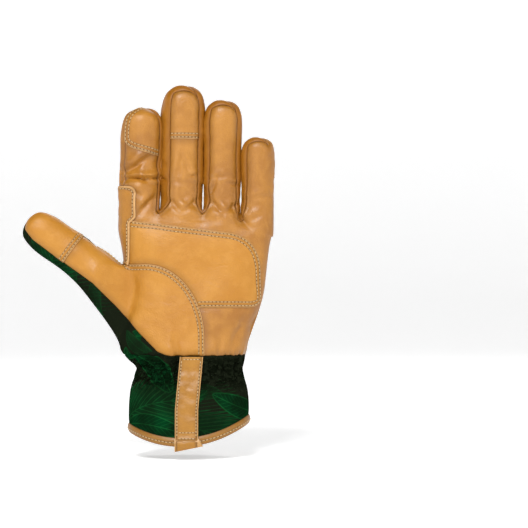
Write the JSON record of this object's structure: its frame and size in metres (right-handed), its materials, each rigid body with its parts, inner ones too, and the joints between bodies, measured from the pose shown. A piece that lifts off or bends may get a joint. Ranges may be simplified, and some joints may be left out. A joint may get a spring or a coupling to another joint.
{
  "type": "gardening glove",
  "caption": "Left-hand gardening glove with a tan leather palm, fingertip caps and raised palm patch, a dark leaf-printed cloth back, gathered wrist and pull strap.",
  "frame": {"origin": "middle of the gathered wrist, where the elastic holds the glove on the wearer's wrist", "axes": "+Z along the fingers, the palm faces -Y, the thumb points to -X and up"},
  "size_m": [0.1752, 0.0603, 0.254],
  "materials": {
    "leather": "smooth golden tan grain leather, satin",
    "patch_leather": "smooth golden tan grain leather, satin",
    "printed_cloth": "smooth knitted cloth, near black with green leaf line drawing"
  },
  "bodies": {
    "root": {"back_cloth": "printed_cloth", "crotch_saddle": "leather", "cuff_cloth": "printed_cloth", "hem_binding": "leather", "index_back_inset": "printed_cloth", "index_back_leather": "leather", "index_cap": "leather", "index_middle_wall": "leather", "little_back_cap": "leather", "middle_back_cap": "leather", "middle_cap": "leather", "middle_ring_wall": "leather", "palm_leather": "leather", "palm_patch": "patch_leather", "pull_strap": "patch_leather", "ring_back_cap": "leather", "ring_little_wall": "leather", "thumb_cap": "leather", "thumb_cloth": "printed_cloth", "thumb_leather": "leather"}
  },
  "joints": []
}
